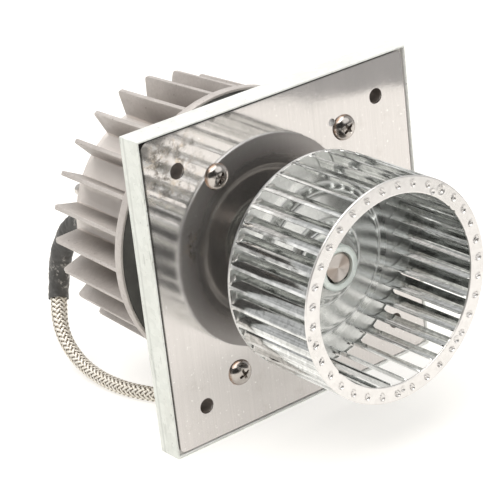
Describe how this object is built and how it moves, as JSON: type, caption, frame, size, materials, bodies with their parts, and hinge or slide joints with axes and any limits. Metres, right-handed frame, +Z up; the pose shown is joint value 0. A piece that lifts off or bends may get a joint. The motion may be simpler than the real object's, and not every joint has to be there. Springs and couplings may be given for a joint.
{
  "type": "oven fan",
  "caption": "Oven convection fan: forward-curved squirrel-cage wheel on a finned motor's shaft, carried by a square insulated mounting pan, with a braided lead.",
  "frame": {"origin": "centre of the corner bolt pattern on the shaft axis, at the front face of the stainless plate", "axes": "-Y along the shaft towards the fan wheel, +Z up, +X to the right seen from the wheel's side"},
  "size_m": [0.2192, 0.2309, 0.15],
  "materials": {
    "galvanised_sheet": "satin",
    "stainless_sheet": "mirror polish",
    "mineral_board": "matte",
    "plain_steel": "satin",
    "screw_steel": "polished",
    "cast_aluminium": "fine cast",
    "dark_shield": "satin",
    "core_steel": "satin",
    "winding_wire": "varnished",
    "bearing_steel": "ground",
    "black_rubber": "matte",
    "shrink_sleeve": "satin, wrinkled",
    "metal_braid": "woven",
    "black_plastic": "matte",
    "connector_plastic": "satin",
    "brass": "satin",
    "shaft_steel": "turned",
    "zinc_hub": "zinc plated",
    "wheel_sheet": "galvanised",
    "black_steel": "black oxide"
  },
  "bodies": {
    "housing": {"mounting_pan": "galvanised_sheet", "face_plate": "stainless_sheet", "insulation_board": "mineral_board", "corner_sleeves": "plain_steel", "screw_sleeves": "plain_steel", "motor_screws": "screw_steel", "motor_spacers": "plain_steel", "motor_nuts": "screw_steel", "motor_housing": "cast_aluminium", "front_end_shield": "dark_shield", "front_shield_screws": "screw_steel", "rear_end_shield": "dark_shield", "rear_shield_screws": "screw_steel", "earth_screw": "brass", "earth_washer": "screw_steel", "stator_core": "core_steel", "stator_windings": "winding_wire", "thermal_protector": "black_plastic", "front_bearing_outer_ring": "bearing_steel", "front_bearing_balls": "bearing_steel", "rear_bearing_outer_ring": "bearing_steel", "rear_bearing_balls": "bearing_steel", "preload_washer": "plain_steel", "cable_grommet": "black_rubber", "cable_shrink_sleeve": "shrink_sleeve", "motor_cable": "metal_braid", "cable_coil": "metal_braid", "coil_tie": "black_plastic", "cable_tail": "metal_braid", "cable_end_sleeve": "shrink_sleeve", "connector_housing": "connector_plastic", "connector_pins": "brass"},
    "rotor": {"rotor_shaft": "shaft_steel", "rotor_core": "core_steel", "rotor_end_rings": "cast_aluminium", "front_bearing_inner_ring": "bearing_steel", "rear_bearing_inner_ring": "bearing_steel", "shaft_seal_ring": "black_rubber", "wheel_hub": "zinc_hub", "wheel_back_disc": "wheel_sheet", "wheel_front_ring": "wheel_sheet", "wheel_blades": "wheel_sheet", "hub_set_screws": "black_steel"}
  },
  "joints": [
    {"name": "fan_spin", "type": "hinge", "parent": "housing", "child": "rotor", "pos_m": [0, 0, 0], "axis": [0, 1, 0], "continuous": true}
  ]
}
